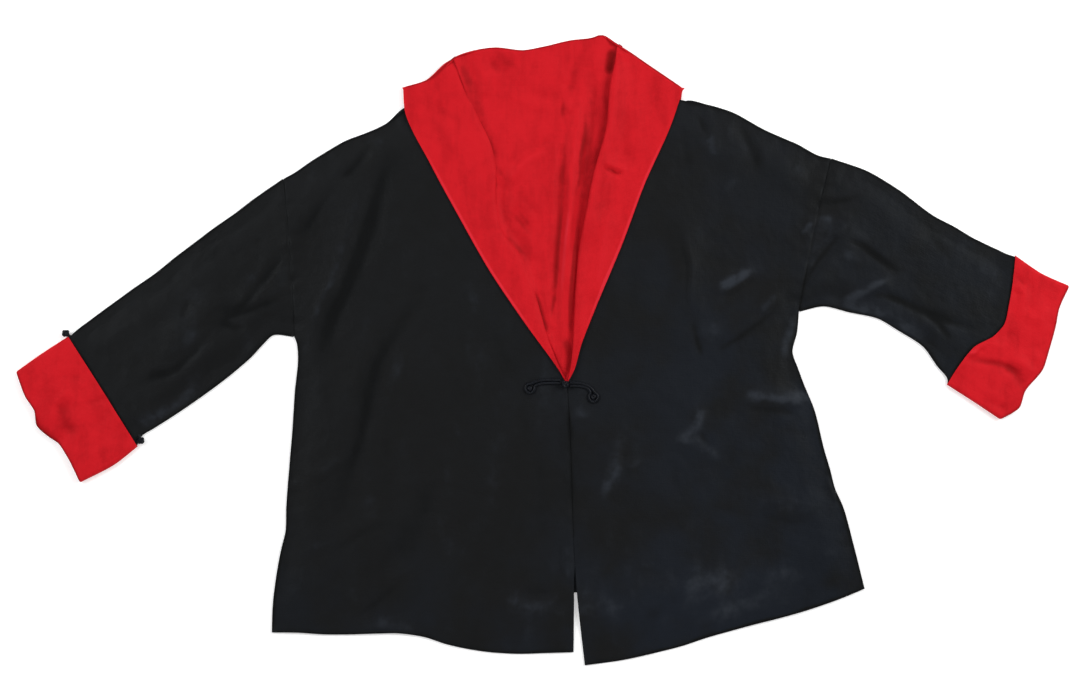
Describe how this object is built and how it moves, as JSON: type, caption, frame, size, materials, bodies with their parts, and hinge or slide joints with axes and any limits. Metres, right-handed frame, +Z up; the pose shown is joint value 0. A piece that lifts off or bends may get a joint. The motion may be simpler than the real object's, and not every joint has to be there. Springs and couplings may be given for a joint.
{
  "type": "tang jacket",
  "caption": "Black silk jacket with a red shawl collar, red lining, turned-back red cuffs and a cord frog at the front, laid flat with its face up.",
  "frame": {"origin": "centre of the bounding box's bottom, on the surface the jacket lies on", "axes": "+X along the spread of the sleeves, to the right as the laid-out jacket is looked at from above, +Y towards the collar, +Z up out of the surface, through the garment's layers"},
  "size_m": [1.1666, 0.698, 0.0171],
  "materials": {
    "black_satin": "black silk satin with a soft bluish sheen",
    "red_silk": "red plain-weave silk with a faint slub",
    "black_cord": "black satin cord"
  },
  "bodies": {
    "root": {"back": "black_satin", "front_left": "black_satin", "front_right": "black_satin", "sleeve_left": "black_satin", "sleeve_right": "black_satin", "cuff_left": "red_silk", "cuff_right": "red_silk", "back_lining": "red_silk", "collar_back": "red_silk", "collar_stand": "red_silk", "collar_left": "red_silk", "collar_right": "red_silk", "frog_button": "black_cord", "frog_left": "black_cord", "frog_right": "black_cord", "cuff_knot_upper": "black_cord", "cuff_knot_lower": "black_cord"}
  },
  "joints": []
}
